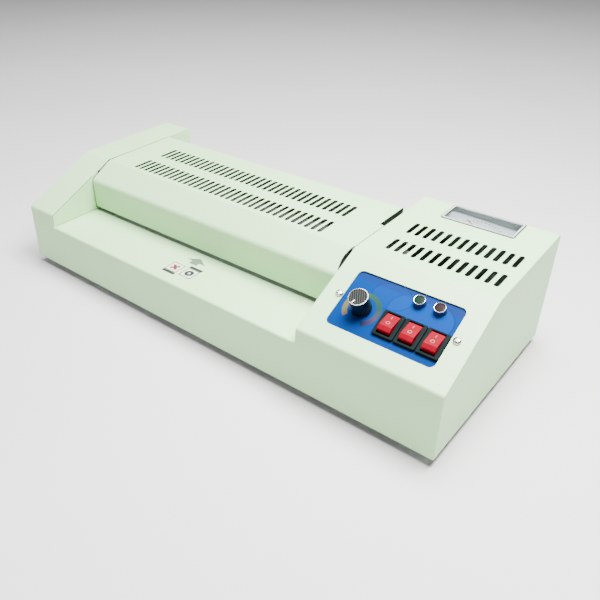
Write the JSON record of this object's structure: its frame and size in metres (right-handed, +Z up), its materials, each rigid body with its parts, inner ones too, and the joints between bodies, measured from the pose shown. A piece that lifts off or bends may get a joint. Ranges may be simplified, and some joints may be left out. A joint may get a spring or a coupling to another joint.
{
  "type": "pouch laminator",
  "caption": "Table-top roller laminator for pouches up to A3 width: folded sheet case, feed tray and slot, four geared rollers, slotted hood, knob, rockers, lamps and needle thermometer.",
  "frame": {"origin": "middle of the footprint, on the surface the feet stand on", "axes": "+X to the right of someone facing the front, +Y to the rear, +Z up"},
  "size_m": [0.5, 0.21, 0.1148],
  "materials": {
    "powder_coat": "pale green-grey textured powder coat",
    "zinc_steel": "zinc plated sheet",
    "ground_steel": "ground",
    "plated_screw": "bright nickel plate",
    "aluminium": "satin",
    "foot_rubber": "matt",
    "silicone_rubber": "smooth silicone",
    "gear_nylon": "moulded nylon",
    "blue_plate": "printed, satin",
    "knob_black": "glossy",
    "switch_black": "semi-gloss",
    "rocker_red": "translucent red, glossy",
    "lamp_chrome": "bright",
    "lens_green": "glossy, translucent",
    "lens_red": "glossy, translucent",
    "board_green": "circuit board",
    "needle_red": "painted",
    "clear_plastic": "clear plastic"
  },
  "bodies": {
    "case": {"main_case": "powder_coat", "hood": "powder_coat", "base_plate": "zinc_steel", "side_frame_left": "zinc_steel", "side_frame_right": "zinc_steel", "tie_rod_front": "zinc_steel", "tie_rod_rear": "zinc_steel", "motor_bracket": "zinc_steel", "gear_motor": "zinc_steel", "foot_screw_front_left": "plated_screw", "foot_screw_front_right": "plated_screw", "foot_screw_rear_left": "plated_screw", "foot_screw_rear_right": "plated_screw", "plate_screw_left": "plated_screw", "plate_screw_right": "plated_screw", "heater_upper": "aluminium", "heater_lower": "aluminium", "foot_front_left": "foot_rubber", "foot_front_right": "foot_rubber", "foot_rear_left": "foot_rubber", "foot_rear_right": "foot_rubber", "control_plate": "blue_plate", "cord_gland": "switch_black", "potentiometer": "switch_black", "switch_bezel_1": "switch_black", "switch_bezel_2": "switch_black", "switch_bezel_3": "switch_black", "meter_box": "switch_black", "lamp_bezel_green": "lamp_chrome", "lamp_bezel_red": "lamp_chrome", "lamp_lens_green": "lens_green", "lamp_lens_red": "lens_red", "control_board": "board_green", "meter_window": "clear_plastic"},
    "roll_hot_lower": {"shaft_hot_lower": "ground_steel", "roller_hot_lower": "silicone_rubber", "gear_hot_lower": "gear_nylon"},
    "roll_hot_upper": {"shaft_hot_upper": "ground_steel", "roller_hot_upper": "silicone_rubber", "gear_hot_upper": "gear_nylon"},
    "roll_pull_lower": {"shaft_pull_lower": "ground_steel", "roller_pull_lower": "silicone_rubber", "gear_pull_lower": "gear_nylon"},
    "roll_pull_upper": {"shaft_pull_upper": "ground_steel", "roller_pull_upper": "silicone_rubber", "gear_pull_upper": "gear_nylon"},
    "idler": {"idler_gear": "gear_nylon"},
    "pinion": {"motor_pinion": "gear_nylon"},
    "knob": {"knob": "knob_black", "knob_cap": "aluminium", "knob_shaft": "ground_steel"},
    "rocker_1": {"rocker_1": "rocker_red"},
    "rocker_2": {"rocker_2": "rocker_red"},
    "rocker_3": {"rocker_3": "rocker_red"},
    "needle": {"meter_needle": "needle_red"}
  },
  "joints": [
    {"name": "hot_lower_spin", "type": "hinge", "parent": "case", "child": "roll_hot_lower", "pos_m": [-0.045, -0.01, 0.0473], "axis": [1, 0, 0], "continuous": true},
    {"name": "hot_upper_spin", "type": "hinge", "parent": "case", "child": "roll_hot_upper", "pos_m": [-0.045, -0.01, 0.0727], "axis": [1, 0, 0], "continuous": true},
    {"name": "pull_lower_spin", "type": "hinge", "parent": "case", "child": "roll_pull_lower", "pos_m": [-0.045, 0.03445, 0.0473], "axis": [1, 0, 0], "continuous": true},
    {"name": "pull_upper_spin", "type": "hinge", "parent": "case", "child": "roll_pull_upper", "pos_m": [-0.045, 0.03445, 0.0727], "axis": [1, 0, 0], "continuous": true},
    {"name": "idler_spin", "type": "hinge", "parent": "case", "child": "idler", "pos_m": [0.137, 0.01222, 0.0473], "axis": [1, 0, 0], "continuous": true},
    {"name": "pinion_spin", "type": "hinge", "parent": "case", "child": "pinion", "pos_m": [0.137, 0.0537, 0.03619], "axis": [1, 0, 0], "continuous": true},
    {"name": "knob_turn", "type": "hinge", "parent": "case", "child": "knob", "pos_m": [0.158, -0.0728, 0.09304], "axis": [0, -0.4472, 0.8944], "range_deg": [-300, 0]},
    {"name": "rocker_1_tilt", "type": "hinge", "parent": "case", "child": "rocker_1", "pos_m": [0.1854, -0.072, 0.08115], "axis": [1, 0, 0], "range_deg": [0, 18]},
    {"name": "rocker_2_tilt", "type": "hinge", "parent": "case", "child": "rocker_2", "pos_m": [0.2041, -0.072, 0.08115], "axis": [1, 0, 0], "range_deg": [0, 18]},
    {"name": "rocker_3_tilt", "type": "hinge", "parent": "case", "child": "rocker_3", "pos_m": [0.2228, -0.072, 0.08115], "axis": [1, 0, 0], "range_deg": [0, 18]},
    {"name": "needle_swing", "type": "hinge", "parent": "case", "child": "needle", "pos_m": [0.186, 0.07666, 0.10689], "axis": [0, -0.039, 0.9992], "range_deg": [-100, 0]}
  ],
  "couplings": [
    {"joint": "hot_upper_spin", "follows": "hot_lower_spin", "ratio": -1},
    {"joint": "pull_lower_spin", "follows": "hot_lower_spin", "ratio": 1},
    {"joint": "pull_upper_spin", "follows": "hot_lower_spin", "ratio": -1},
    {"joint": "idler_spin", "follows": "hot_lower_spin", "ratio": -1.3333},
    {"joint": "pinion_spin", "follows": "hot_lower_spin", "ratio": -1.3333}
  ]
}
